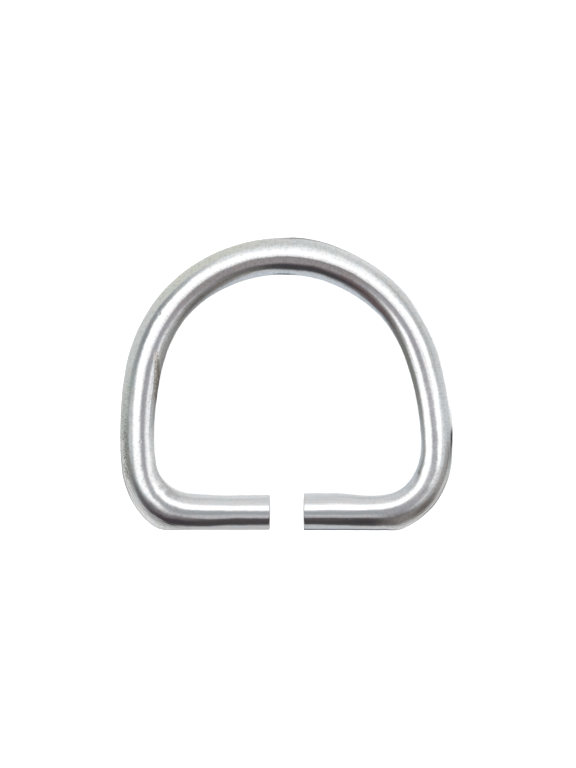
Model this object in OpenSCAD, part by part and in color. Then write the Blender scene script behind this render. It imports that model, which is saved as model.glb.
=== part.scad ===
// Open D ring bent from one length of round steel wire.
// It lies flat: the straight bar runs along X on the -Y side, and the crown is at +Y.
// The origin is the middle of the ring's outline, at the level of its underside.

/* [Wire] */
// Diameter of the wire
wire_d = 3.4; // [3:0.1:3.8]
// Width of the bevel round each cut end of the wire
end_bevel = 0.06; // [0.04:0.02:0.4]

/* [D shape] */
// Clear width inside the D, along the bar
inside_w = 25; // [24:0.2:26]
// Clear height inside the D, from the bar to the crown
inside_h = 20.8; // [20:0.2:21.6]
// How far the crown stands to the left of the middle of the width
crown_shift = 0.5; // [0:0.1:0.8]

/* [Left half] */
// Radius of the left corner, at the middle of the wire
left_corner_r = 4.8; // [4.4:0.1:5.6]
// Angle that the left corner turns
left_corner_turn = 85; // [84:1:87]
// Angle that the left side turns between the bow and the corner
left_side_turn = 15; // [14:1:18]

/* [Right half] */
// Radius of the right corner, at the middle of the wire
right_corner_r = 5.5; // [4.6:0.1:5.8]
// Angle that the right corner turns
right_corner_turn = 88; // [86:1:89]
// Angle that the right side turns between the bow and the corner
right_side_turn = 20; // [16:1:22]

/* [Gap in the bar] */
// Opening between the two cut ends
gap_w = 3.2; // [0.6:0.1:8]
// How far the middle of the gap stands to the left of the middle of the width
gap_shift = 0.05; // [-1:0.05:1]

/* [Hidden] */
$fn = 96;

wire_r = wire_d / 2;
mid_w = inside_w + wire_d;
mid_h = inside_h + wire_d;

// Each half of the ring is a row: which way it lies from the crown, how far its middle line reaches
// from the crown, the radius of its corner, and the angles that its corner and its side turn.
HAND = 0;
REACH = 1;
CORNER_R = 2;
CORNER_TURN = 3;
SIDE_TURN = 4;
halves = [
    [-1, mid_w / 2 - crown_shift, left_corner_r, left_corner_turn, left_side_turn],
    [1, mid_w / 2 + crown_shift, right_corner_r, right_corner_turn, right_side_turn],
];

// Angles are counted along the wire from the crown, 0, to the bar, 180.
function side_end(half) = 180 - half[CORNER_TURN];
function bow_end(half) = side_end(half) - half[SIDE_TURN];

// The bow and the side meet without a kink, so their radii follow from two sums along the wire:
//   reach = bow_r * sin(bow_end) + side_r * (1 - sin(bow_end))
//   fall  = bow_r * (1 - cos(bow_end)) + side_r * (cos(bow_end) - cos(side_end))
function fall(half) = mid_h - half[CORNER_R] * (1 + cos(side_end(half)));
function side_r(half) =
    let (
        a = sin(bow_end(half)),
        b = 1 - cos(bow_end(half)),
        c = cos(bow_end(half)) - cos(side_end(half))
    )
    (fall(half) * a - half[REACH] * b) / (c * a - (1 - a) * b);
function bow_r(half) =
    let (a = sin(bow_end(half)))
    (half[REACH] - side_r(half) * (1 - a)) / a;

// Direction from the middle of a bend to the wire at an angle from the crown.
function outward(angle) = [sin(angle), cos(angle)];

// Middles of the three bends of a half, across from the crown and up from the bar's middle line.
function bow_mid(half) = [0, mid_h - bow_r(half)];
function side_mid(half) =
    bow_mid(half) + (bow_r(half) - side_r(half)) * outward(bow_end(half));
function corner_mid(half) =
    side_mid(half) + (side_r(half) - half[CORNER_R]) * outward(side_end(half));

// Distance from the crown to the cut end of a half, along the bar.
function cut_at(half) = gap_w / 2 + half[HAND] * (crown_shift - gap_shift);

// Moves by a rounded distance and then by what the rounding left, so that no digits are lost and
// each bend starts exactly where the last one ends.
module shift(v) {
    rounded = [for (x = v) round(x * 1000) / 1000];
    translate(rounded) translate(v - rounded) children();
}

// Wire bent round a middle, between two angles from the crown.
module bend(middle, r, from, to) {
    shift(middle)
        rotate_extrude(start = 90 - to, angle = to - from)
            shift([r, 0]) circle(d = wire_d);
}

// Straight wire from the corner towards the gap, with the bevel at its cut end.
module stub(from, to) {
    plain = from - to - end_bevel;
    shift([from, 0])
        rotate([0, -90, 0]) {
            cylinder(h = plain, d = wire_d);
            translate([0, 0, plain])
                cylinder(h = end_bevel, d1 = wire_d, d2 = wire_d - 2 * end_bevel);
        }
}

// Half of the ring: bow, side, corner and the stub of bar that ends at the gap.
module half_ring(half) {
    bend(bow_mid(half), bow_r(half), 0, bow_end(half));
    bend(side_mid(half), side_r(half), bow_end(half), side_end(half));
    bend(corner_mid(half), half[CORNER_R], side_end(half), 180);
    stub(corner_mid(half)[0], cut_at(half));
}

module wire_ring() {
    color("silver")
        translate([-crown_shift, -mid_h / 2, wire_r])
            for (half = halves)
                mirror([half[HAND] < 0 ? 1 : 0, 0, 0]) half_ring(half);
}

wire_ring();
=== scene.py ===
# Finish, floor, soft light and camera for an open D ring bent from plated steel wire.
import math

import bpy
import numpy as np
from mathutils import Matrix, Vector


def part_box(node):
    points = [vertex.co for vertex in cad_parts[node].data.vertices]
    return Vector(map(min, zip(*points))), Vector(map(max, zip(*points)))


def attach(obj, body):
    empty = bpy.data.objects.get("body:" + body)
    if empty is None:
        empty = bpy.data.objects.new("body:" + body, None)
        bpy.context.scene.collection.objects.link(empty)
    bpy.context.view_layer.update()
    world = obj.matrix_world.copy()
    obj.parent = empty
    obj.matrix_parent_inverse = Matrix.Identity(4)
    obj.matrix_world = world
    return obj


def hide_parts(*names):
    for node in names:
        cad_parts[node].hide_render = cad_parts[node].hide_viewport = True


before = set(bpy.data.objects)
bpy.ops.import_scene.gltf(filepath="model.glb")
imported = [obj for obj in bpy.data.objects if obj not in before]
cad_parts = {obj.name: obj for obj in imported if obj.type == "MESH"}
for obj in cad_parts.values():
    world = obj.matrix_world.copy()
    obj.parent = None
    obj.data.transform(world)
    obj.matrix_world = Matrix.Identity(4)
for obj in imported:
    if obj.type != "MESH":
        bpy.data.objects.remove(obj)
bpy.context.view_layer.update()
mm = 0.001

ringLow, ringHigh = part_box("wire_ring")
ringSize = ringHigh - ringLow
wireRadius = ringSize.z / 2

# The bends of the wire, as real sizes. The wire's diameter and the ring's width and height come
# from the frame.
wireBends = {
    "crownShift": 0.5 * mm,        # how far the crown stands to the left of the middle
    # Radius of the corner, then the degrees that the corner and the side turn.
    "left": {"corner": 4.8 * mm, "cornerTurn": 85, "sideTurn": 15},
    "right": {"corner": 5.5 * mm, "cornerTurn": 88, "sideTurn": 20},
    "gap": 3.2 * mm,               # between the cut ends
    "gapShift": 0.05 * mm,         # how far the middle of the gap stands to the left
    "bevel": 0.06 * mm,            # round each cut end
}

# The wire's mesh and its low relief
wireMesh = {
    "alongStep": 0.1 * mm,
    "around": 96,                  # points round the wire
    "faceRings": 10,               # rings across each cut face
    "seed": 7,
    "waver": 0.004 * mm,           # low waves of the drawn surface
    "waverWaves": (60, 0.9, 5.0, 4),   # how many, shortest and longest in mm, most waves round
    "waverFade": (-1, -0.5),       # sine of the place round the wire: no waves on the underside
    # Distance from the crown in mm, then how much fuller the wire is on its outer and on its inner
    # side, in mm. Both corners are pressed out. The sides between them and the bow are thinner, most
    # of all the outer side of the right one.
    "swell": [
        (-42, 0.00, -0.06), (-38, 0.00, -0.14), (-35, 0.00, 0.00), (-34.6, -0.01, 0.06),
        (-34.2, 0.01, 0.09), (-33.9, 0.05, 0.11), (-33.6, 0.13, 0.13), (-33.3, 0.25, 0.14),
        (-33, 0.39, 0.15), (-32.75, 0.50, 0.16), (-32.4, 0.50, 0.17), (-31.8, 0.42, 0.18),
        (-31.2, 0.29, 0.14), (-30.6, 0.16, 0.12), (-30, 0.07, 0.08), (-29.4, -0.03, 0.06),
        (-28.8, -0.08, 0.03), (-28.2, -0.11, 0.02), (-26, -0.12, -0.08), (-23, -0.12, -0.05),
        (-20, -0.07, 0.02), (-17, -0.07, 0.06), (-14, -0.05, -0.02), (-12, -0.01, -0.08),
        (-9, -0.02, -0.04), (-6, -0.05, 0.07), (-2, -0.04, 0.09), (0, -0.01, 0.09),
        (1.5, 0.10, 0.07), (4, 0.06, 0.01), (6, -0.01, 0.02), (9, -0.04, -0.03),
        (12, -0.06, -0.13), (14, -0.09, -0.11), (17, -0.05, -0.05), (21, -0.11, -0.08),
        (24, -0.20, -0.12), (26, -0.29, -0.18), (28, -0.31, -0.03), (29.5, -0.21, 0.00),
        (31, -0.08, -0.09), (32.2, 0.03, -0.13), (33.4, 0.17, -0.14), (34.05, 0.27, -0.12),
        (34.4, 0.19, -0.12), (34.8, 0.06, -0.13), (35.2, 0.03, -0.14), (36.2, 0.01, -0.18),
        (37.2, 0.01, -0.13), (39.2, 0.00, 0.08), (42, 0.00, 0.08)],
    "swellEase": 0.8,              # mm along the wire over which the rows are evened out
}


def halfSizes(half, reach, height):
    # Bow and side radii, so that both arcs and the corner meet without a kink:
    # reach = bow * sin(b) + side * (1 - sin(b)), and the three arcs fall by the height.
    corner = wireBends[half]["corner"]
    sideEnd = math.radians(180 - wireBends[half]["cornerTurn"])
    bowEnd = sideEnd - math.radians(wireBends[half]["sideTurn"])
    fall = height - corner * (1 + math.cos(sideEnd))
    a = math.sin(bowEnd)
    b = 1 - math.cos(bowEnd)
    c = math.cos(bowEnd) - math.cos(sideEnd)
    side = (fall * a - reach * b) / (c * a - (1 - a) * b)
    bow = (reach - side * (1 - a)) / a
    return [(bow, bowEnd), (side, sideEnd - bowEnd), (corner, math.pi - sideEnd)]


def halfLength(half, reach, height, cut):
    # Length of the three arcs, and of the straight stub from the corner's end to the cut.
    arcs = halfSizes(half, reach, height)
    turned = 0.0
    across = 0.0
    for radius, turn in arcs:
        across += radius * (math.sin(turned + turn) - math.sin(turned))
        turned += turn
    return sum(radius * turn for radius, turn in arcs) + across - cut


def halfPath(half, reach, height, distance):
    # Middle line at distances from the crown: each arc of radius R that turns from p to q adds
    # R (sin q - sin p) across and R (cos q - cos p) down, then the stub runs straight back.
    across = np.zeros_like(distance)
    down = np.zeros_like(distance)
    heading = np.zeros_like(distance)
    left = distance.copy()
    for radius, turn in halfSizes(half, reach, height):
        step = np.clip(left / radius, 0, turn)
        across += radius * (np.sin(heading + step) - np.sin(heading))
        down += radius * (np.cos(heading) - np.cos(heading + step))
        heading = heading + step
        left = left - step * radius
    across -= np.maximum(left, 0)
    return across, height - down, heading


def ripple(along, turn, seed, count, shortest, longest, waves):
    # Smooth low relief of about unit size: a sum of cosine waves with random lengths along the
    # wire, whole numbers of waves round it and random starts.
    draw = np.random.default_rng(seed)
    total = np.zeros(np.broadcast(along, turn).shape)
    for _ in range(count):
        length = draw.uniform(shortest, longest)
        around = draw.integers(-waves, waves + 1)
        start = draw.uniform(0, 2 * math.pi)
        total += np.cos(2 * math.pi * along / length + around * turn + start)
    return total * math.sqrt(2 / count)


def rise(x, start, end):
    # Smooth step from 0 before start to 1 after end: s^2 (3 - 2 s), with s the share of the way.
    share = np.clip((x - start) / (end - start), 0, 1)
    return share * share * (3 - 2 * share)


def easedCurve(x, places, values, over):
    # Straight lines between the values, then their running mean over a length in mm.
    reach = 60       # mm on each side of the crown, well past both cuts
    step = 0.1
    fine = np.arange(-reach, reach, step)
    line = np.interp(fine, places, values)
    half = int(round(over / (2 * step)))
    window = np.full(2 * half + 1, 1 / (2 * half + 1))
    mean = np.convolve(np.pad(line, half, mode="edge"), window, mode="valid")
    return np.interp(x, fine, mean)


def gridFaces(rows, columns, closed):
    # Quads of a grid of points, row after row. A closed grid joins its last column to its first.
    starts = np.arange(columns if closed else columns - 1)
    row, column = np.meshgrid(np.arange(rows - 1), starts, indexing="ij")
    following = (column + 1) % columns
    return np.stack([
        row * columns + column, row * columns + following,
        (row + 1) * columns + following, (row + 1) * columns + column,
    ], 2).reshape(-1, 4)


def addPiece(name, points, faces):
    # A smooth mesh object at the origin, with its place in its mesh.
    mesh = bpy.data.meshes.new(name)
    mesh.from_pydata(points.tolist(), [], faces)
    mesh.shade_smooth()
    piece = bpy.data.objects.new(name, mesh)
    bpy.context.scene.collection.objects.link(piece)
    return piece


def wirePath():
    # Returns the wire's length on each side of the crown, and a function of distance that gives
    # the middle line's points and its outward directions.
    middleWidth = ringSize.x - 2 * wireRadius
    middleHeight = ringSize.y - 2 * wireRadius
    shift = wireBends["crownShift"]
    reaches = {"left": middleWidth / 2 - shift, "right": middleWidth / 2 + shift}
    cuts = {
        "left": wireBends["gap"] / 2 - (shift - wireBends["gapShift"]),
        "right": wireBends["gap"] / 2 + (shift - wireBends["gapShift"]),
    }
    lengths = [halfLength(half, reaches[half], middleHeight, cuts[half]) for half in reaches]
    belowCrown = np.array([
        (ringLow.x + ringHigh.x) / 2 - shift,
        (ringLow.y + ringHigh.y) / 2 - middleHeight / 2,
    ])

    def place(along):
        onLeft = along < 0
        left = halfPath("left", reaches["left"], middleHeight, np.where(onLeft, -along, 0))
        right = halfPath("right", reaches["right"], middleHeight, np.where(onLeft, 0, along))
        across = np.where(onLeft, -left[0], right[0])
        up = np.where(onLeft, left[1], right[1])
        heading = np.where(onLeft, -left[2], right[2])
        middle = np.stack([across, up], 1) + belowCrown
        return middle, np.stack([np.sin(heading), np.cos(heading)], 1)

    return lengths[0], lengths[1], place


def wireRelief(along, turn):
    # Change of radius: swell * cos(turn)^2, with a swell of its own for the outer and for the inner
    # side, and low waves. The underside keeps its level, so that the wire rests on the floor.
    places, outer, inner = np.array(wireMesh["swell"]).T
    side = np.cos(turn)
    ease = wireMesh["swellEase"]
    swell = easedCurve(along, places, outer, ease) * np.maximum(side, 0) ** 2
    swell = swell + easedCurve(along, places, inner, ease) * np.minimum(side, 0) ** 2
    waver = wireMesh["waver"] * ripple(along, turn, wireMesh["seed"], *wireMesh["waverWaves"])
    return swell * mm + waver * rise(np.sin(turn), *wireMesh["waverFade"])


def makeWire():
    # A circle carried along the bent middle line: point = middle + r (cos t * outward + sin t * up).
    # Each cut face is a set of smaller circles that ends in one middle point.
    leftLength, rightLength, place = wirePath()
    bevel = wireBends["bevel"]
    rows = int(round((leftLength + rightLength - 2 * bevel) / wireMesh["alongStep"]))
    body = np.linspace(-leftLength + bevel, rightLength - bevel, rows + 1)
    face = np.linspace(0, 1, wireMesh["faceRings"] + 1)[1:] * (1 - bevel / wireRadius)
    along = np.concatenate([np.full(len(face), -leftLength), body, np.full(len(face), rightLength)])
    scale = np.concatenate([face, np.ones(len(body)), face[::-1]])[:, None]
    middle, outward = place(along)
    count = wireMesh["around"]
    turn = np.linspace(0, 2 * math.pi, count, endpoint=False)
    radius = (wireRadius + wireRelief(along[:, None] / mm, turn)) * scale
    reachOut = radius * np.cos(turn)
    reachUp = radius * np.sin(turn)
    level = ringLow.z + wireRadius
    points = np.stack([
        middle[:, :1] + reachOut * outward[:, :1],
        middle[:, 1:] + reachOut * outward[:, 1:],
        level + reachUp,
    ], 2)
    space = np.stack([np.broadcast_to(along[:, None], reachOut.shape), reachOut, reachUp], 2) / mm
    ends = np.array([[*middle[0], level], [*middle[-1], level]])
    endSpace = np.array([[along[0] / mm, 0, 0], [along[-1] / mm, 0, 0]])
    points = np.concatenate([points.reshape(-1, 3), ends])
    space = np.concatenate([space.reshape(-1, 3), endSpace])
    quads = gridFaces(len(along), count, True)
    first = len(along) * count
    column = np.arange(count)
    following = (column + 1) % count
    lastRow = (len(along) - 1) * count
    leftFan = np.stack([np.full(count, first), following, column], 1)
    rightFan = np.stack([np.full(count, first + 1), lastRow + column, lastRow + following], 1)
    piece = addPiece("bentWire", points, quads.tolist() + leftFan.tolist() + rightFan.tolist())
    attribute = piece.data.attributes.new("wireSpace", "FLOAT_VECTOR", "POINT")
    attribute.data.foreach_set("vector", space.astype(np.float32).ravel())
    piece.data.validate()
    return piece


class Link:
    # One output socket of a shader tree. The operators add the Math nodes that a sum needs.
    def __init__(self, tree, socket):
        self.tree = tree
        self.socket = socket

    def math(self, operation, *values):
        sockets = dict(enumerate((self,) + values))
        return self.tree.add("ShaderNodeMath", {"operation": operation}, sockets)

    def __add__(self, other):
        return self.math("ADD", other)

    def __radd__(self, other):
        return self.math("ADD", other)

    def __sub__(self, other):
        return self.math("SUBTRACT", other)

    def __rsub__(self, other):
        return (self * -1).math("ADD", other)

    def __mul__(self, other):
        return self.math("MULTIPLY", other)

    def __rmul__(self, other):
        return self.math("MULTIPLY", other)

    def __truediv__(self, other):
        return self.math("DIVIDE", other)

    def rise(self, start, end):
        # Smooth step: 0 before start, 1 after end.
        settings = {"interpolation_type": "SMOOTHSTEP"}
        return self.tree.add("ShaderNodeMapRange", settings, {0: self, 1: start, 2: end})

    def band(self, low, high, soft):
        # 1 between low and high, with soft edges.
        return self.rise(low - soft, low + soft) * (1 - self.rise(high - soft, high + soft))


class Tree:
    # The nodes of one material, or of the world.
    def __init__(self, owner):
        owner.use_nodes = True
        self.nodes = owner.node_tree.nodes
        self.links = owner.node_tree.links
        self.nodes.clear()

    def add(self, kind, settings=None, sockets=None, out=0):
        # Makes a node, sets its settings, then sets or links its input sockets.
        node = self.nodes.new(kind)
        for name, value in (settings or {}).items():
            setattr(node, name, value)
        for name, value in (sockets or {}).items():
            if isinstance(value, Link):
                self.links.new(value.socket, node.inputs[name])
            else:
                node.inputs[name].default_value = value
        return Link(self, node.outputs[out]) if node.outputs else node

    def mixColour(self, amount, first, second):
        # Sockets 6 and 7 of a Mix node are its colours, and its third output is the mixed colour.
        return self.add("ShaderNodeMix", {"data_type": "RGBA"}, {0: amount, 6: first, 7: second}, 2)

    def vector(self, operation, first, second):
        return self.add("ShaderNodeVectorMath", {"operation": operation}, {0: first, 1: second})

    def split(self, vector):
        x = self.add("ShaderNodeSeparateXYZ", None, {0: vector})
        return [Link(self, output) for output in x.socket.node.outputs]


# Light tent. Polar angles are degrees from straight up. Azimuths are degrees from the front (-Y),
# positive to the right (+X).
lightTent = {
    "centre": (2 * mm, 5 * mm, 12 * mm),
    "radius": 26 * mm,
    "footRadius": 30.5 * mm,       # wide enough for the ring's corners
    "footFrom": (80, 102),         # polar angles between which the wall widens to it
    "rings": 34,
    "around": 64,
    "poleGap": 0.001,              # radians from each pole to the nearest ring
    "white": (1.6, 1.6, 1.6, 1),
    # Each wall fades from white to its grey between two polar angles, and then to its foot's colour.
    # The left and right walls lie between two azimuths, with soft sides.
    "foot": (96, 106),
    "back": {"fade": (32, 112), "grey": (0.70, 0.73, 0.73, 1), "foot": (0.72, 0.73, 0.72, 1)},
    "left": {
        "sides": (-130, -40), "soft": 20,
        "fade": (64, 90), "grey": (0.42, 0.46, 0.45, 1), "foot": (0.60, 0.63, 0.60, 1)},
    "right": {
        "sides": (50, 130), "soft": 15,
        "fade": (58, 86), "grey": (0.68, 0.71, 0.73, 1), "foot": (0.74, 0.76, 0.77, 1)},
    # The front is grey. Its two sides and its top are soft: each lies between two angles.
    "front": {
        "start": (-49, -35), "end": (25, 60), "below": (20, 42), "grey": (0.26, 0.245, 0.25, 1)},
    # The core of the front changes its grey three times on the way down.
    "core": {"start": (-50, -32), "end": (8, 38)},
    "coreShades": [
        {"below": (42, 62), "grey": (0.12, 0.10, 0.105, 1)},
        {"below": (84, 98), "grey": (0.075, 0.068, 0.07, 1)},
        {"below": (109, 115), "grey": (0.42, 0.45, 0.48, 1)}],
}


def tentPattern(tree):
    # Light seen in each direction from the tent's centre: polar = acos z, azimuth = atan2(x, -y).
    place = tree.add("ShaderNodeTexCoord", out=3)
    out = tree.vector("SUBTRACT", place, lightTent["centre"])
    x, y, z = tree.split(tree.vector("NORMALIZE", out, (0, 0, 0)))
    degree = 180 / math.pi
    polar = z.math("ARCCOSINE") * degree
    azimuth = x.math("ARCTAN2", y * -1) * degree
    colour = lightTent["white"]
    foot = polar.rise(*lightTent["foot"])
    for wall in ("back", "left", "right"):
        look = lightTent[wall]
        share = azimuth.band(*look["sides"], look["soft"]) if "sides" in look else 1.0
        grey = tree.mixColour(foot, look["grey"], look["foot"])
        shaded = tree.mixColour(polar.rise(*look["fade"]), lightTent["white"], grey)
        colour = tree.mixColour(share, colour, shaded)
    front = lightTent["front"]
    panel = azimuth.rise(*front["start"]) * (1 - azimuth.rise(*front["end"]))
    colour = tree.mixColour(panel * polar.rise(*front["below"]), colour, front["grey"])
    sides = lightTent["core"]
    core = azimuth.rise(*sides["start"]) * (1 - azimuth.rise(*sides["end"]))
    for shade in lightTent["coreShades"]:
        colour = tree.mixColour(core * polar.rise(*shade["below"]), colour, shade["grey"])
    return colour


def reflectionsOnly(light):
    # The light shows in the wire's reflections, and neither in the picture nor on the floor.
    for ray in ("camera", "diffuse", "transmission", "volume_scatter", "shadow"):
        setattr(light, "visible_" + ray, False)


def makeTent():
    # A ball of light round the ring: point = centre + R (sin p cos a, sin p sin a, cos p), where R
    # widens from the tent's radius to its foot's.
    rings = lightTent["rings"]
    around = lightTent["around"]
    gap = lightTent["poleGap"]
    turns = np.linspace(0, 2 * math.pi, around, endpoint=False)
    polar = np.linspace(gap, math.pi - gap, rings)[:, None]
    widen = rise(np.degrees(polar), *lightTent["footFrom"])
    radius = lightTent["radius"] + (lightTent["footRadius"] - lightTent["radius"]) * widen
    directions = np.stack([
        np.sin(polar) * np.cos(turns),
        np.sin(polar) * np.sin(turns),
        np.cos(polar) + 0 * turns,
    ], 2)
    points = (directions * radius[:, :, None]).reshape(-1, 3) + lightTent["centre"]
    tent = addPiece("lightTent", points, gridFaces(rings, around, True).tolist())
    material = bpy.data.materials.new("tentLight")
    tree = Tree(material)
    light = tree.add("ShaderNodeEmission", None, {"Color": tentPattern(tree), "Strength": 1.0})
    tree.add("ShaderNodeOutputMaterial", None, {"Surface": light})
    material.cycles.emission_sampling = "NONE"
    tent.data.materials.append(material)
    reflectionsOnly(tent)


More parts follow.
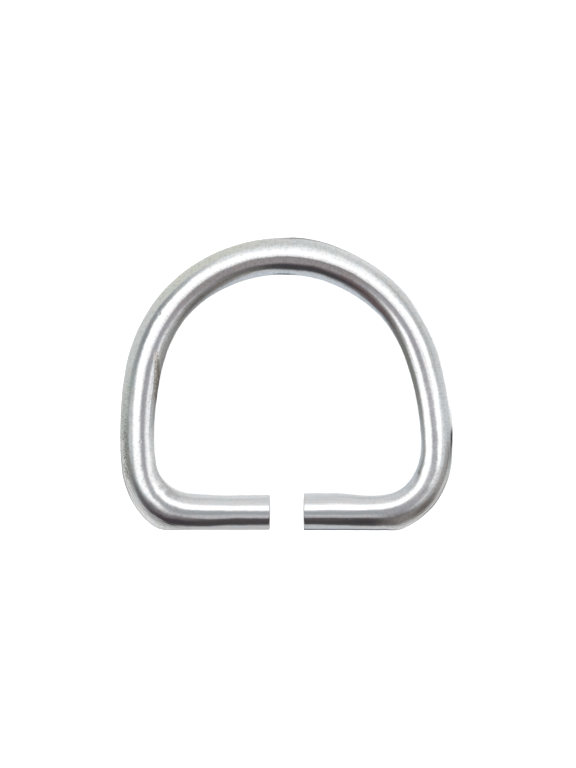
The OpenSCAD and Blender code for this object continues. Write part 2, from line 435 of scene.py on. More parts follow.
# Soft strips of light and shade on a clear sleeve round the wire. Later strips lie over earlier
# ones. A strip's path has rows of distance from the crown in mm, place across the wire, half width
# and strength. Places across are as seen from above: 1 is the wire's outer edge, -1 its inner edge.
shadeStrips = {
    "sleeve": 4.4 * mm,            # radius
    "rows": 900,                   # along the sleeve
    "columns": 160,                # across it
    "edge": 0.998,                 # place across of the first and the last column
    "ease": 2.4,                   # mm over which a path's rows are evened out, unless it says so
    "strips": {
        # Outer side of the bow and of both sides
        "left shoulder rim": {"colour": (0.72, 0.745, 0.73), "soft": 0.06, "path": [
            (-22.5, 0.84, 0.14, 0), (-20.5, 0.84, 0.17, 0.7), (-17, 0.79, 0.2, 1),
            (-12, 0.79, 0.2, 1), (-8, 0.78, 0.2, 0)]},
        "left outer rim": {"colour": (0.745, 0.755, 0.685), "soft": 0.06, "path": [
            (-14, 0.79, 0.19, 0), (-10, 0.78, 0.21, 1), (-2, 0.8, 0.18, 1), (3, 0.8, 0.18, 0)]},
        "right outer rim": {"colour": (0.745, 0.765, 0.755), "soft": 0.06, "path": [
            (-4, 0.8, 0.18, 0), (1, 0.8, 0.18, 1), (5.5, 0.78, 0.15, 1), (8, 0.755, 0.115, 1),
            (12, 0.74, 0.12, 1), (18, 0.62, 0.1, 0.4), (23, 0.6, 0.1, 0)]},
        "right outer sheen": {"colour": (0.87, 0.88, 0.88), "soft": 0.05, "path": [
            (2, 0.88, 0.05, 0), (4, 0.87, 0.09, 0.8), (7, 0.88, 0.1, 1), (10, 0.9, 0.08, 1),
            (12, 0.93, 0.05, 0)]},
        "right outer line": {"colour": (0.47, 0.465, 0.455), "soft": 0.06, "path": [
            (8, 0.66, 0.05, 0), (10, 0.65, 0.06, 0.45), (13, 0.59, 0.08, 0.55),
            (16, 0.47, 0.14, 0.5), (19, 0.4, 0.13, 0.45), (23, 0.42, 0.08, 0)]},
        "right shoulder light": {"colour": (1.2, 1.2, 1.2), "soft": 0.05, "path": [
            (0, 0.4, 0.04, 0), (4, 0.39, 0.08, 0.7), (7, 0.405, 0.085, 1), (10, 0.395, 0.07, 1),
            (12.5, 0.4, 0.05, 0)]},
        "right outer glow": {"colour": (1.5, 1.5, 1.5), "soft": 0.05, "path": [
            (11, 0.96, 0.04, 0), (15, 0.93, 0.07, 1), (22, 0.91, 0.09, 1), (24, 0.94, 0.06, 0.3),
            (27, 0.97, 0.03, 0)]},
        "left outer shade": {"colour": (0.28, 0.285, 0.265), "soft": 0.07, "path": [
            (-30, 0.56, 0.1, 0), (-28.2, 0.53, 0.13, 0.9), (-25, 0.66, 0.13, 0.7),
            (-22.5, 0.67, 0.15, 0)]},
        "left side light": {"colour": (0.74, 0.75, 0.75), "soft": 0.06, "path": [
            (-28, 0.38, 0.05, 0), (-25, 0.345, 0.11, 1), (-22, 0.39, 0.09, 0.6),
            (-19, 0.38, 0.06, 0)]},
        "left outer streak": {"colour": (0.31, 0.325, 0.345), "soft": 0.06, "path": [
            (-21, 0.45, 0.07, 0), (-18.5, 0.42, 0.08, 0.4), (-16, 0.41, 0.12, 1),
            (-13, 0.49, 0.09, 0.9), (-10, 0.4, 0.11, 0.45), (-7, 0.52, 0.05, 0.3),
            (-5, 0.57, 0.05, 0)]},
        "right outer shade": {"colour": (0.405, 0.4, 0.39), "soft": 0.06, "path": [
            (23.4, 0.8, 0.14, 0), (25, 0.8, 0.16, 0.35), (26.5, 0.74, 0.19, 0.95),
            (27.5, 0.66, 0.21, 0.95), (29.5, 0.54, 0.19, 0.95), (32, 0.46, 0.15, 0)]},
        "right side light": {"colour": (1.0, 1.0, 1.0), "soft": 0.05, "path": [
            (20.5, 0.38, 0.04, 0), (22.5, 0.375, 0.06, 0.4), (25, 0.36, 0.07, 0.7),
            (26.5, 0.36, 0.06, 0.3), (27.5, 0.36, 0.05, 0)]},
        "right outer seam": {"ease": 1.0, "colour": (0.26, 0.26, 0.25), "soft": 0.03, "path": [
            (25.6, 0.8, 0.02, 0), (26.5, 0.77, 0.04, 1), (27.5, 0.735, 0.045, 1),
            (28.4, 0.72, 0.03, 0.7), (29.2, 0.71, 0.02, 0)]},
        # Outer side of the corners and of the bar, and the dark lines at the outer edge
        "right corner dusk": {"colour": (0.27, 0.25, 0.235), "soft": 0.07, "path": [
            (28.6, 0.64, 0.12, 0), (30.5, 0.62, 0.15, 1), (31.5, 0.62, 0.2, 1),
            (32.2, 0.6, 0.205, 1), (33.2, 0.53, 0.21, 1), (34.4, 0.56, 0.22, 1),
            (35.4, 0.5, 0.2, 0)]},
        "right corner brown": {"ease": 1.2, "colour": (0.135, 0.12, 0.115), "soft": 0.07, "path": [
            (30.2, 0.62, 0.06, 0), (31.1, 0.6, 0.13, 0.8), (32, 0.6, 0.12, 0.7),
            (33, 0.6, 0.08, 0)]},
        "right bar dark": {"colour": (0.045, 0.043, 0.045), "soft": 0.06, "path": [
            (34.6, 0.48, 0.08, 0), (36, 0.49, 0.13, 0.7), (38, 0.5, 0.12, 0.3),
            (40.5, 0.5, 0.1, 0)]},
        "left corner dusk": {"colour": (0.145, 0.135, 0.14), "soft": 0.06, "path": [
            (-34, 0.5, 0.1, 0), (-31.5, 0.49, 0.12, 0.8), (-29.5, 0.41, 0.12, 1),
            (-27, 0.42, 0.05, 0)]},
        "left corner haze": {"colour": (0.24, 0.218, 0.225), "soft": 0.07, "path": [
            (-36.4, 0.43, 0.04, 0), (-35.2, 0.405, 0.075, 0.8), (-34.4, 0.38, 0.1, 1),
            (-33.3, 0.285, 0.145, 1), (-31.8, 0.26, 0.105, 1), (-29.5, 0.32, 0.05, 0)]},
        "left corner dark": {"colour": (0.06, 0.047, 0.058), "soft": 0.06, "path": [
            (-35.2, 0.54, 0.1, 0), (-34.3, 0.53, 0.13, 0.9), (-33.3, 0.51, 0.18, 1),
            (-32, 0.48, 0.17, 0.9), (-31, 0.46, 0.13, 0.4), (-30, 0.44, 0.1, 0)]},
        "left middle light": {"colour": (1.3, 1.3, 1.3), "soft": 0.09, "path": [
            (-34.6, 0.17, 0.02, 0), (-33.4, 0.12, 0.04, 0.5), (-31.8, 0.06, 0.08, 1),
            (-29.5, 0.04, 0.15, 1), (-27, -0.02, 0.2, 1), (-25, 0.01, 0.21, 0.8),
            (-23, 0.03, 0.17, 0.4), (-21.8, 0.03, 0.1, 0)]},
        "left bar rim": {"ease": 1.0, "colour": (0.61, 0.615, 0.62), "soft": 0.06, "path": [
            (-42, 0.88, 0.17, 1), (-38, 0.89, 0.165, 1), (-36, 0.935, 0.125, 1),
            (-35, 0.925, 0.125, 1), (-34.5, 0.915, 0.125, 1), (-34, 0.9, 0.145, 1),
            (-33.5, 0.855, 0.185, 1), (-33, 0.81, 0.235, 1), (-32.5, 0.78, 0.265, 1),
            (-31.8, 0.78, 0.26, 1), (-29.5, 0.84, 0.2, 0.95), (-27, 0.88, 0.12, 0.5),
            (-24.5, 0.9, 0.08, 0)]},
        "left corner glow": {"ease": 1.2, "colour": (0.92, 0.92, 0.92), "soft": 0.05, "path": [
            (-34.4, 0.9, 0.05, 0), (-33.6, 0.89, 0.08, 0.38), (-33, 0.85, 0.1, 0.5),
            (-32.2, 0.83, 0.095, 0.9), (-31, 0.8, 0.13, 1), (-30, 0.82, 0.13, 1),
            (-29, 0.82, 0.1, 1), (-28, 0.83, 0.08, 1), (-27, 0.86, 0.05, 0.6),
            (-25, 0.86, 0.05, 0.5), (-22, 0.84, 0.04, 0)]},
        "left corner edge": {"colour": (0.2, 0.21, 0.21), "soft": 0.02, "path": [
            (-35, 0.985, 0.015, 0), (-33.5, 0.98, 0.025, 0.7), (-28, 0.98, 0.025, 0.7),
            (-25, 0.985, 0.015, 0)]},
        "right bar rim": {"colour": (0.66, 0.67, 0.68), "soft": 0.06, "path": [
            (31, 0.92, 0.1, 0), (33.5, 0.85, 0.19, 1), (36, 0.915, 0.145, 1),
            (42, 0.87, 0.19, 1)]},
        "right corner rim": {"colour": (0.86, 0.85, 0.84), "soft": 0.04, "path": [
            (28.5, 0.86, 0.05, 0), (30, 0.85, 0.07, 0.8), (31, 0.865, 0.055, 0.7),
            (32, 0.87, 0.055, 0.9), (33, 0.88, 0.08, 1), (34, 0.88, 0.06, 0.5),
            (36, 0.88, 0.05, 0)]},
        "right side edge": {"ease": 0.6, "colour": (0.03, 0.03, 0.03), "soft": 0.03, "path": [
            (24.5, 0.95, 0.03, 0), (24.8, 0.94, 0.055, 1), (25.8, 0.94, 0.055, 1),
            (26.8, 0.91, 0.045, 0.6), (29, 0.88, 0.03, 0)]},
        "right bar edge": {"ease": 0.6, "colour": (0.05, 0.08, 0.12), "soft": 0.02, "path": [
            (33.4, 0.975, 0.03, 0), (35, 0.965, 0.036, 0.9), (38, 0.965, 0.038, 0.95),
            (42, 0.965, 0.04, 0.95)]},
        "crown outer edge": {"ease": 1.2, "colour": (0.04, 0.04, 0.04), "soft": 0.02, "path": [
            (-0.3, 0.98, 0.02, 0), (0.5, 0.97, 0.045, 0.75), (1.4, 0.97, 0.045, 0.6),
            (2.2, 0.97, 0.045, 0.5), (3, 0.97, 0.04, 0.4), (4.5, 0.975, 0.035, 0.4),
            (6, 0.98, 0.02, 0)]},
        # Inner side
        "left inner dusk": {"colour": (0.275, 0.265, 0.245), "soft": 0.09, "path": [
            (-26.5, -0.92, 0.06, 0), (-25, -0.9, 0.09, 0.75), (-22, -0.87, 0.11, 0.4),
            (-19, -0.85, 0.14, 0.75), (-16, -0.81, 0.2, 0.7), (-13, -0.82, 0.18, 0.65),
            (-10, -0.78, 0.16, 1), (-7, -0.71, 0.15, 1), (-4, -0.6, 0.15, 1),
            (-1, -0.6, 0.12, 0)]},
        "left inner line": {"colour": (0.15, 0.14, 0.135), "soft": 0.05, "path": [
            (-13, -0.82, 0.06, 0), (-10, -0.79, 0.09, 1), (-7, -0.68, 0.07, 0.5),
            (-4, -0.53, 0.07, 0.9), (-1, -0.52, 0.08, 0)]},
        "right inner rim": {"colour": (0.66, 0.71, 0.765), "soft": 0.05, "path": [
            (-9, -0.93, 0.05, 0), (-6.5, -0.91, 0.07, 0.6), (-4, -0.89, 0.09, 1),
            (-1, -0.88, 0.1, 1), (8, -0.9, 0.1, 1), (16, -0.97, 0.08, 0.4),
            (24, -0.95, 0.09, 0.5), (30, -0.88, 0.14, 0.8), (42, -0.84, 0.13, 0.8)]},
        "bar inner rim": {"colour": (0.84, 0.86, 0.87), "soft": 0.05, "path": [
            (-42, -0.84, 0.19, 1), (-36, -0.85, 0.19, 0.9), (-33.5, -0.88, 0.14, 0.6),
            (-32, -0.86, 0.12, 0), (33, -0.86, 0.14, 0), (35, -0.86, 0.17, 0.7),
            (42, -0.85, 0.18, 0.8)]},
        "bar inner line": {"colour": (0.58, 0.61, 0.61), "soft": 0.04, "path": [
            (-42, -0.76, 0.04, 0.7), (-38, -0.77, 0.05, 0.7), (-35, -0.74, 0.06, 0.8),
            (-33, -0.73, 0.06, 0), (33, -0.88, 0.05, 0), (35, -0.88, 0.06, 0.9),
            (37, -0.88, 0.05, 0.8), (39, -0.82, 0.04, 0.5), (42, -0.8, 0.03, 0.4)]},
        "left side rim": {"colour": (0.84, 0.85, 0.85), "soft": 0.07, "path": [
            (-30.2, -0.98, 0.05, 0), (-29.2, -0.93, 0.08, 0.3), (-28.4, -0.92, 0.1, 0.7),
            (-27.5, -0.88, 0.14, 0.8), (-25, -0.9, 0.12, 0.7), (-22.5, -0.94, 0.08, 0)]},
        "bow grey": {"colour": (0.24, 0.225, 0.215), "soft": 0.08, "path": [
            (6, -0.4, 0.1, 0), (9, -0.43, 0.12, 0.6), (12, -0.56, 0.13, 0.85),
            (15, -0.66, 0.12, 0.8), (18, -0.72, 0.1, 0)]},
        "right inner light": {"colour": (1.5, 1.5, 1.5), "soft": 0.1, "path": [
            (7, -0.3, 0.06, 0), (10, -0.34, 0.08, 0.45), (13, -0.42, 0.13, 0.7),
            (16, -0.51, 0.13, 0.9), (19, -0.53, 0.13, 1), (24, -0.58, 0.18, 1),
            (27.5, -0.58, 0.185, 1), (29.5, -0.53, 0.15, 0.9), (33, -0.45, 0.13, 0.4),
            (35, -0.45, 0.12, 0.3), (37, -0.42, 0.1, 0)]},
        "crown dark": {"colour": (0.065, 0.061, 0.067), "soft": 0.075, "path": [
            (-3, -0.53, 0.11, 0), (-0.5, -0.54, 0.21, 1), (4, -0.57, 0.17, 1),
            (7, -0.635, 0.135, 0.9), (10, -0.72, 0.13, 0.85), (13, -0.82, 0.115, 0.85),
            (15, -0.88, 0.12, 0.5), (17.5, -0.92, 0.1, 0)]},
        "crown brown": {"colour": (0.175, 0.125, 0.125), "soft": 0.08, "path": [
            (-9, -0.4, 0.06, 0), (-5, -0.37, 0.08, 0.5), (-2, -0.34, 0.065, 0.75),
            (0, -0.34, 0.07, 0.9), (4, -0.35, 0.1, 1), (8, -0.425, 0.1, 0.9),
            (11, -0.5, 0.09, 0.3), (13.5, -0.6, 0.07, 0.1), (16, -0.7, 0.06, 0)]},
        "bow plum": {"colour": (0.16, 0.095, 0.105), "soft": 0.06, "path": [
            (7.5, -0.64, 0.05, 0), (9.5, -0.68, 0.07, 0.9), (12.5, -0.74, 0.06, 0.9),
            (14.5, -0.8, 0.04, 0)]},
        "right inner line": {"colour": (0.19, 0.19, 0.175), "soft": 0.06, "path": [
            (12, -0.84, 0.08, 0), (15, -0.87, 0.12, 0.9), (18, -0.89, 0.12, 0.9),
            (21, -0.89, 0.12, 0.8), (25, -0.87, 0.08, 0.45), (27.5, -0.82, 0.075, 0.6),
            (28.8, -0.79, 0.1, 0.95), (30.2, -0.77, 0.1, 0.95), (31.7, -0.75, 0.06, 0)]},
        "left inner rim": {"colour": (0.5, 0.49, 0.485), "soft": 0.11, "path": [
            (-35.5, -0.68, 0.12, 0), (-33, -0.63, 0.19, 0.85), (-31.5, -0.66, 0.215, 1),
            (-29.2, -0.87, 0.11, 0.9), (-26, -0.92, 0.07, 0)]},
        "corner inner glow": {"colour": (0.9, 0.9, 0.9), "soft": 0.04, "path": [
            (-34.5, -0.98, 0.04, 0), (-33, -0.97, 0.07, 0.9), (-31, -0.98, 0.06, 0.9),
            (-29.3, -0.98, 0.04, 0)]},
        "left inner edge": {"ease": 0.6, "colour": (0.02, 0.02, 0.02), "soft": 0.02, "path": [
            (-21.6, -0.97, 0.02, 0), (-20.8, -0.965, 0.045, 0.75), (-19.6, -0.965, 0.04, 0.5),
            (-18.4, -0.965, 0.03, 0.1), (-17.8, -0.97, 0.02, 0)]},
        "crown inner edge": {"ease": 0.6, "colour": (0.02, 0.02, 0.03), "soft": 0.02, "path": [
            (-1.2, -0.98, 0.02, 0), (-0.6, -0.97, 0.05, 0.7), (0.9, -0.97, 0.05, 0.7),
            (1.8, -0.98, 0.02, 0)]},
        "left inner light": {"ease": 1.4, "colour": (1.22, 1.22, 1.22), "soft": 0.11, "path": [
            (-30.7, -0.52, 0.07, 0), (-29.2, -0.575, 0.13, 1), (-27.5, -0.655, 0.13, 1),
            (-25, -0.63, 0.11, 1), (-22, -0.57, 0.09, 0.8), (-19, -0.55, 0.07, 0.6),
            (-17.5, -0.5, 0.07, 0.8), (-16, -0.43, 0.085, 1), (-14.8, -0.48, 0.05, 0.5),
            (-13, -0.54, 0.05, 0.4), (-10, -0.5, 0.05, 0.4), (-7, -0.48, 0.05, 0.2),
            (-5, -0.46, 0.04, 0)]},
        "bar inner grey": {"colour": (0.815, 0.815, 0.815), "soft": 0.12, "path": [
            (-42, -0.53, 0.15, 1), (-34, -0.56, 0.15, 0.95), (-31.9, -0.62, 0.1, 0),
            (29.5, -0.66, 0.1, 0), (31.5, -0.68, 0.13, 0.5), (33.5, -0.71, 0.14, 0.9),
            (35, -0.68, 0.145, 1), (37, -0.635, 0.15, 1), (39, -0.57, 0.155, 1),
            (42, -0.54, 0.16, 1)]},
        # Along the middle, from end to end and then in places
        "middle grey": {"colour": (0.45, 0.445, 0.475), "soft": 0.09, "path": [
            (-42, 0.08, 0.15, 1), (-36, 0.05, 0.16, 1), (-33.5, -0.04, 0.14, 0.9),
            (-31.5, -0.11, 0.11, 0.9), (-29.5, -0.3, 0.14, 0.95), (-27.5, -0.38, 0.14, 1),
            (-22, -0.33, 0.165, 1), (-19, -0.315, 0.17, 1), (-16, -0.33, 0.15, 1),
            (-13, -0.33, 0.15, 1), (-10, -0.3, 0.15, 1), (-4, -0.225, 0.16, 1),
            (7, -0.17, 0.18, 1), (13, -0.19, 0.16, 1), (18, -0.235, 0.17, 1),
            (21, -0.235, 0.175, 0.85), (25, -0.22, 0.17, 0.9), (27.5, -0.22, 0.17, 0.85),
            (29.5, -0.17, 0.16, 0.85), (31.5, -0.09, 0.18, 0.85), (34, -0.055, 0.195, 1),
            (36, 0.01, 0.17, 1), (42, 0.07, 0.15, 1)]},
        "bar middle grey": {"colour": (0.4, 0.435, 0.45), "soft": 0.08, "path": [
            (-42, 0.08, 0.14, 0.8), (-36, 0.06, 0.15, 0.9), (-33.5, -0.04, 0.12, 0.7),
            (-31.5, -0.11, 0.1, 0.5), (-29, -0.3, 0.1, 0), (33, -0.04, 0.14, 0),
            (36, 0.02, 0.14, 0.7), (42, 0.07, 0.13, 0.8)]},
        "left bar sheen": {"colour": (0.62, 0.61, 0.635), "soft": 0.05, "path": [
            (-42, 0.22, 0.09, 1), (-39, 0.22, 0.09, 1), (-36, 0.28, 0.11, 1),
            (-34.5, 0.2, 0.07, 1), (-33.5, 0.15, 0.06, 0.8), (-31.5, 0.12, 0.06, 0)]},
        "right bar sheen": {"colour": (0.62, 0.62, 0.63), "soft": 0.05, "path": [
            (33.5, 0.2, 0.05, 0), (36, 0.21, 0.08, 1), (42, 0.21, 0.07, 1)]},
        "right corner sheen": {"colour": (0.78, 0.79, 0.8), "soft": 0.06, "path": [
            (28.2, 0.2, 0.05, 0), (29.7, 0.215, 0.08, 1), (31.2, 0.25, 0.08, 0.9),
            (32.3, 0.22, 0.05, 0.6), (33.5, 0.18, 0.04, 0)]},
        "crown middle grey": {"colour": (0.34, 0.302, 0.3), "soft": 0.1, "path": [
            (-14, -0.3, 0.12, 0), (-10, -0.3, 0.14, 0.9), (-4, -0.22, 0.15, 0.8),
            (0, -0.2, 0.15, 0.8), (7, -0.16, 0.15, 0.9), (11, -0.12, 0.1, 0)]},
        "crown haze": {"colour": (1.05, 1.04, 1.04), "soft": 0.06, "path": [
            (-22, -0.1, 0.05, 0), (-19, -0.11, 0.06, 0.6), (-16, -0.1, 0.06, 0.6),
            (-13, -0.1, 0.06, 0.8), (-10, -0.06, 0.06, 0.9), (-7, -0.03, 0.06, 1),
            (-4, -0.03, 0.07, 1), (0, 0.04, 0.05, 0.8), (5, 0.08, 0.05, 0.9), (11, 0.06, 0.06, 1),
            (15, 0.04, 0.06, 0.9), (17.5, 0.025, 0.06, 1), (19.5, 0.015, 0.065, 1),
            (21.5, 0.02, 0.05, 0.6), (24, 0.03, 0.04, 0)]},
        "crown middle edge": {"colour": (0.255, 0.25, 0.25), "soft": 0.03, "path": [
            (-12, -0.16, 0.03, 0), (-8, -0.13, 0.035, 0.6), (-3, -0.09, 0.035, 0.8),
            (6, -0.07, 0.035, 0.8), (11, -0.08, 0.035, 0.7), (15, -0.09, 0.03, 0)]},
    },
}


def makeSleeve():
    # A clear sleeve round the wire, with the soft strips drawn on it. The column that shows at
    # sin(tilt) across the wire stands where the mirror ray from there meets the sleeve:
    # 2 tilt - asin(wire radius / sleeve radius * sin(tilt)) from straight up.
    sleeve = shadeStrips["sleeve"]
    leftLength, rightLength, place = wirePath()
    overhang = wireBends["gap"] / 2          # the sleeve's two ends meet in the middle of the gap
    along = np.linspace(-leftLength - overhang, rightLength + overhang, shadeStrips["rows"])
    middle, outward = place(along)
    across = np.linspace(-shadeStrips["edge"], shadeStrips["edge"], shadeStrips["columns"])
    lean = 2 * np.arcsin(across) - np.arcsin(wireRadius / sleeve * across)
    points = np.stack([
        middle[:, :1] + sleeve * np.sin(lean) * outward[:, :1],
        middle[:, 1:] + sleeve * np.sin(lean) * outward[:, 1:],
        wireRadius + sleeve * np.cos(lean) + 0 * outward[:, :1],
    ], 2)
    colour = np.zeros((len(along), len(across), 3))
    cover = np.zeros((len(along), len(across), 1))
    for strip in shadeStrips["strips"].values():
        ease = strip.get("ease", shadeStrips["ease"])
        places, *columns = np.array(strip["path"]).T
        curves = [easedCurve(along / mm, places, column, ease)[:, None] for column in columns]
        centre, half, strength = curves
        soft = strip["soft"]
        mask = rise(across, centre - half - soft, centre - half + soft) * strength
        mask = (mask * (1 - rise(across, centre + half - soft, centre + half + soft)))[:, :, None]
        total = mask + cover * (1 - mask)
        blend = mask * strip["colour"] + colour * cover * (1 - mask)
        colour = blend / np.maximum(total, 1e-6)
        cover = total
    faces = gridFaces(len(along), len(across), False)
    piece = addPiece("shadeSleeve", points.reshape(-1, 3), faces.tolist())
    layer = piece.data.color_attributes.new("strips", "FLOAT_COLOR", "POINT")
    layer.data.foreach_set("color", np.concatenate([colour, cover], 2).astype(np.float32).ravel())
    material = bpy.data.materials.new("sleeveStrips")
    tree = Tree(material)
    strips = tree.add("ShaderNodeAttribute", {"attribute_name": "strips"})
    amount = Link(tree, strips.socket.node.outputs["Alpha"])
    clear = tree.add("ShaderNodeBsdfTransparent")
    light = tree.add("ShaderNodeEmission", None, {"Color": strips, "Strength": 1.0})
    surface = tree.add("ShaderNodeMixShader", None, {0: amount, 1: clear, 2: light})
    tree.add("ShaderNodeOutputMaterial", None, {"Surface": surface})
    material.cycles.emission_sampling = "NONE"
    piece.data.materials.append(material)
    reflectionsOnly(piece)


# Floor
floorSetup = {
    "size": 3.0,                   # metres
    "colour": (0.86, 0.86, 0.86, 1),
    "light": 2.3,                  # strength of the world's light
}


def makeFloor():
    # A flat square at z = 0.
    half = floorSetup["size"] / 2
    corners = np.array([(-half, -half, 0), (half, -half, 0), (half, half, 0), (-half, half, 0)])
    floor = addPiece("floor", corners, [(0, 1, 2, 3)])
    material = bpy.data.materials.new("paleFloor")
    tree = Tree(material)
    surface = tree.add("ShaderNodeBsdfDiffuse", None, {"Color": floorSetup["colour"]})
    tree.add("ShaderNodeOutputMaterial", None, {"Surface": surface})
    floor.data.materials.append(material)
    floor.visible_glossy = False          # the wire mirrors the tent's foot instead


def makeWorld():
    # The same soft light from all sides, for the floor.
    world = bpy.data.worlds.new("softLight")
    bpy.context.scene.world = world
    tree = Tree(world)
    look = {"Color": (1, 1, 1, 1), "Strength": floorSetup["light"]}
    light = tree.add("ShaderNodeBackground", None, look)
    tree.add("ShaderNodeOutputWorld", None, {"Surface": light})


# Plated steel. Distances along are mm from the crown. Places across are 1 at the wire's outer side
# and -1 at its inner side, and heights up are mm above the middle of the wire.
platedSteel = {
    "cool": (0.768, 0.785, 0.803, 1),
    "warm": (0.798, 0.780, 0.780, 1),
    "dull": (0.64, 0.65, 0.65, 1),
    "roughness": (0.12, 0.21),     # from the hollows to the tops of the drawing lines
    "bow": (-34.5, 36.0),          # along, between the two stubs of the bar
    "bowSoft": 2.0,
    # Each grain has its spots per mm along, outwards and up, its detail, the values between which
    # it takes effect, and its relief in mm. The bar is less mottled and shows more drawing lines.
    "patches": {"perMm": (1.3, 1.1, 1.1), "detail": 2, "effect": (0.35, 0.65)},
    "mottle": {"perMm": (4.6, 4.0, 4.0), "detail": 2, "effect": (0.42, 0.68), "relief": 0.0048,
               "lessOnBar": 0.0022, "share": 0.8, "lessShareOnBar": 0.5},
    "drawn": {"perMm": (0.25, 9.0, 9.0), "detail": 3, "effect": (0.45, 0.70), "relief": 0.0025,
              "moreOnBar": 0.0030, "shareOnBar": 0.5},
    # Small dimples: distance along, place across, radius in mm.
    "dimples": [
        (-39.9, 0.60, 0.12), (-25.2, -0.24, 0.13), (-20.2, -0.38, 0.13), (-13.0, 0.34, 0.20),
        (16.5, -0.24, 0.12), (21.2, -0.20, 0.12)],
    "dimpleDepth": 0.016,
    # Pitted stretch on the left side's outer flank. Its pits thin out between two distances.
    "pits": {
        "along": (-28.6, -18.6), "alongSoft": 0.9, "across": (0.46, 0.84), "acrossSoft": 0.09,
        "up": (-0.4, 0.2), "thin": (-26.5, -19.0), "thinBy": 0.75,
        "cellsPerMm": (5.5, 4.2, 4.2), "cells": (0.34, 0.62),
        "perMm": (1.6, 1.6, 1.6), "detail": 2, "effect": (0.30, 0.46),
        "depth": 0.012, "share": 0.75, "rough": 0.15, "colour": (0.30, 0.31, 0.25, 1)},
    # Rubbed mark that runs slantwise over the left side's inner flank. Its middle lies across at
    # start + slope d + curve d^3, where d is mm from its lower end. The brown is the rub itself. Its
    # far end and its outward side turn pale: a painted highlight, where the reflected highlight
    # crosses the mark.
    "mark": {
        "along": (-21.2, -16.3), "alongSoft": 0.4, "up": (-0.6, 0.0),
        "start": -0.97, "slope": 0.02, "curve": 0.0036, "half": 0.14, "halfSoft": 0.06,
        "perMm": (5.5, 5.5, 5.5), "detail": 3, "effect": (0.50, 0.62),
        "farEnd": (-17.3, -16.5), "farHighlight": 0.2, "outwardHighlight": 0.6,
        "depth": 0.035, "share": 0.7, "rough": 0.15,
        "dark": (0.26, 0.225, 0.165, 1), "light": (0.86, 0.79, 0.71, 1)},
    # Fine lines that the bending tool left round both corners. The pitch is a step across.
    "toolLines": {
        "corners": [((-34.5, -28.5), 1.0), ((27.5, 34.0), 1.5)],   # along, and how soft the ends are
        "across": (0.70, 0.97), "acrossSoft": 0.05, "up": (-0.5, 0.0),
        "pitch": 0.11, "wander": 0.05, "depth": 0.005, "share": 0.5},
    # Sheared faces of the wire, with lines from top to bottom.
    "cut": {
        "perMm": (6.0, 7.0, 0.7), "detail": 3, "edge": 0.03, "edgeSoft": 0.01,
        "relief": 0.05, "rough": 0.42, "colour": (0.46, 0.46, 0.45, 1)},
}


def grain(tree, place, look):
    # Noise between 0 and 1, with so many spots per mm along the wire, outwards and up.
    stretched = tree.vector("MULTIPLY", place, look["perMm"])
    sockets = {"Vector": stretched, "Scale": 1.0, "Detail": look["detail"]}
    return tree.add("ShaderNodeTexNoise", None, sockets)


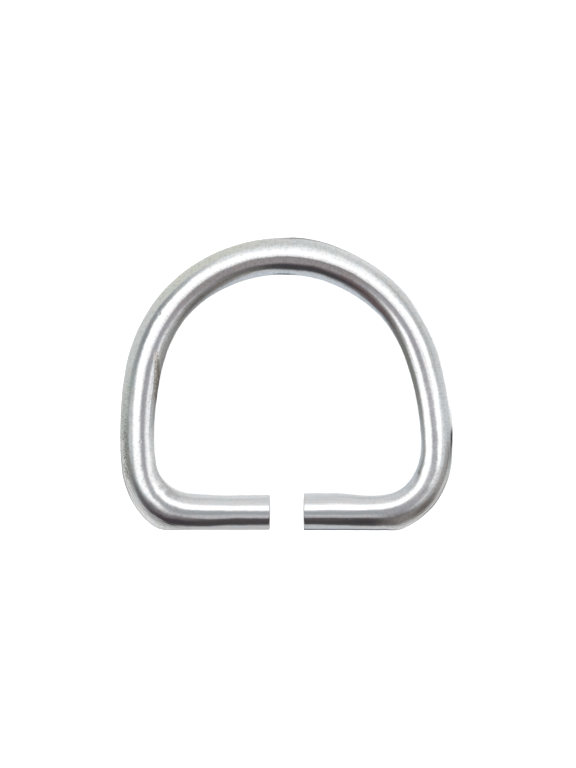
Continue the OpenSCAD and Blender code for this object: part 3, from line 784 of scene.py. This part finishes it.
def makePlating():
    # Colour, roughness and bump from the wire's own coordinates, with heights summed in mm.
    material = bpy.data.materials.new("platedSteel")
    tree = Tree(material)
    place = tree.add("ShaderNodeAttribute", {"attribute_name": "wireSpace"}, out=1)
    along, out, up = tree.split(place)
    radius = wireRadius / mm
    across = out / radius

    # Grains
    look = platedSteel
    bar = 1 - along.band(*look["bow"], look["bowSoft"])
    patches = grain(tree, place, look["patches"])
    mottle = grain(tree, place, look["mottle"])
    drawn = grain(tree, place, look["drawn"])
    mottled = look["mottle"]
    lined = look["drawn"]
    height = mottle * (mottled["relief"] - bar * mottled["lessOnBar"])
    height = height + drawn * (lined["relief"] + bar * lined["moreOnBar"])
    dullness = mottled["share"] - bar * mottled["lessShareOnBar"]
    colour = tree.mixColour(patches.rise(*look["patches"]["effect"]), look["cool"], look["warm"])
    colour = tree.mixColour(mottle.rise(*mottled["effect"]) * dullness, colour, look["dull"])
    linedShare = drawn.rise(*lined["effect"]) * bar * lined["shareOnBar"]
    colour = tree.mixColour(linedShare, colour, look["dull"])
    smooth, coarse = look["roughness"]
    roughness = smooth + (coarse - smooth) * drawn

    # Dimples: 1 - (along / radius)^2 - (across / radius)^2, where that is above 0
    for distance, at, size in look["dimples"]:
        aside = (along - distance) / size
        over = (across - at) * (radius / size)
        bowl = (1 - aside * aside - over * over).math("MAXIMUM", 0)
        height = height - bowl * look["dimpleDepth"]

    # Pits
    look = platedSteel["pits"]
    flank = across.band(*look["across"], look["acrossSoft"]) * up.rise(*look["up"])
    pitZone = along.band(*look["along"], look["alongSoft"]) * flank
    pitZone = pitZone * (1 - along.rise(*look["thin"]) * look["thinBy"])
    stretched = tree.vector("MULTIPLY", place, look["cellsPerMm"])
    sockets = {"Vector": stretched, "Scale": 1.0, "Randomness": 1.0}
    cells = tree.add("ShaderNodeTexVoronoi", None, sockets)
    spots = grain(tree, place, look).rise(*look["effect"])
    pits = (1 - cells.rise(*look["cells"])) * spots * pitZone
    height = height - pits * look["depth"]
    colour = tree.mixColour(pits * look["share"], colour, look["colour"])
    roughness = roughness + pits * look["rough"]

    # Tool lines
    look = platedSteel["toolLines"]
    flank = across.band(*look["across"], look["acrossSoft"]) * up.rise(*look["up"])
    leftCorner, rightCorner = [along.band(*ends, soft) for ends, soft in look["corners"]]
    waves = ((across + drawn * look["wander"]) * (2 * math.pi / look["pitch"])).math("SINE")
    lines = (waves * 0.5 + 0.5) * flank * (leftCorner + rightCorner)
    height = height - lines * look["depth"]
    colour = tree.mixColour(lines * look["share"], colour, platedSteel["pits"]["colour"])

    # Rubbed mark, brown, with a painted highlight where it turns pale
    look = platedSteel["mark"]
    onward = along - look["along"][0]
    lean = across - onward * (onward * onward * look["curve"] + look["slope"]) - look["start"]
    mark = along.band(*look["along"], look["alongSoft"]) * up.rise(*look["up"])
    mark = mark * lean.band(-look["half"], look["half"], look["halfSoft"])
    markGrain = grain(tree, place, look)
    height = height - mark * markGrain * look["depth"]
    # Painted highlight: the mark turns pale towards its far end and its outward side, where the
    # reflected highlight crosses it.
    highlightLift = along.rise(*look["farEnd"]) * look["farHighlight"] + lean * look["outwardHighlight"]
    pale = (markGrain + highlightLift).rise(*look["effect"])
    markColour = tree.mixColour(pale, look["dark"], look["light"])
    colour = tree.mixColour(mark * look["share"], colour, markColour)
    roughness = roughness + mark * look["rough"]

    # Sheared faces
    look = platedSteel["cut"]
    leftLength, rightLength, _ = wirePath()
    edge = look["edge"]
    cut = 1 - along.band(-leftLength / mm + edge, rightLength / mm - edge, look["edgeSoft"])
    height = height + grain(tree, place, look) * cut * look["relief"]
    colour = tree.mixColour(cut, colour, look["colour"])
    roughness = roughness + cut * look["rough"]

    bump = tree.add("ShaderNodeBump", None, {"Strength": 1.0, "Distance": mm, "Height": height})
    surface = tree.add("ShaderNodeBsdfPrincipled", None, {
        "Base Color": colour,
        "Metallic": 1.0,
        "Roughness": roughness,
        "Normal": bump,
    })
    tree.add("ShaderNodeOutputMaterial", None, {"Surface": surface})
    return material


# Camera
cameraSetup = {
    "distance": 300 * mm,           # from the lens to the middle of the wire
    "pictureHeight": 72.53 * mm,    # what the picture's 768 pixels span there
    "centre": (0.073 * mm, -0.012 * mm),
    "sensor": 36,                   # mm, over the picture's height
    "clip": (0.01, 10),             # metres
}


def makeCamera():
    # Straight above the ring: lens = sensor * distance / height of the picture.
    data = bpy.data.cameras.new("camera")
    camera = bpy.data.objects.new("camera", data)
    bpy.context.scene.collection.objects.link(camera)
    data.sensor_width = cameraSetup["sensor"]
    data.lens = cameraSetup["sensor"] * cameraSetup["distance"] / cameraSetup["pictureHeight"]
    data.clip_start, data.clip_end = cameraSetup["clip"]
    camera.location = (*cameraSetup["centre"], wireRadius + cameraSetup["distance"])
    bpy.context.scene.camera = camera


print("bending the wire")
wire = makeWire()
print("plating it")
wire.data.materials.append(makePlating())
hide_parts("wire_ring")
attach(wire, "root")
print("hanging the light tent and the strips")
makeTent()
makeSleeve()
print("laying the floor")
makeFloor()
makeWorld()
print("placing the camera")
makeCamera()
bpy.context.scene.view_settings.view_transform = "Standard"
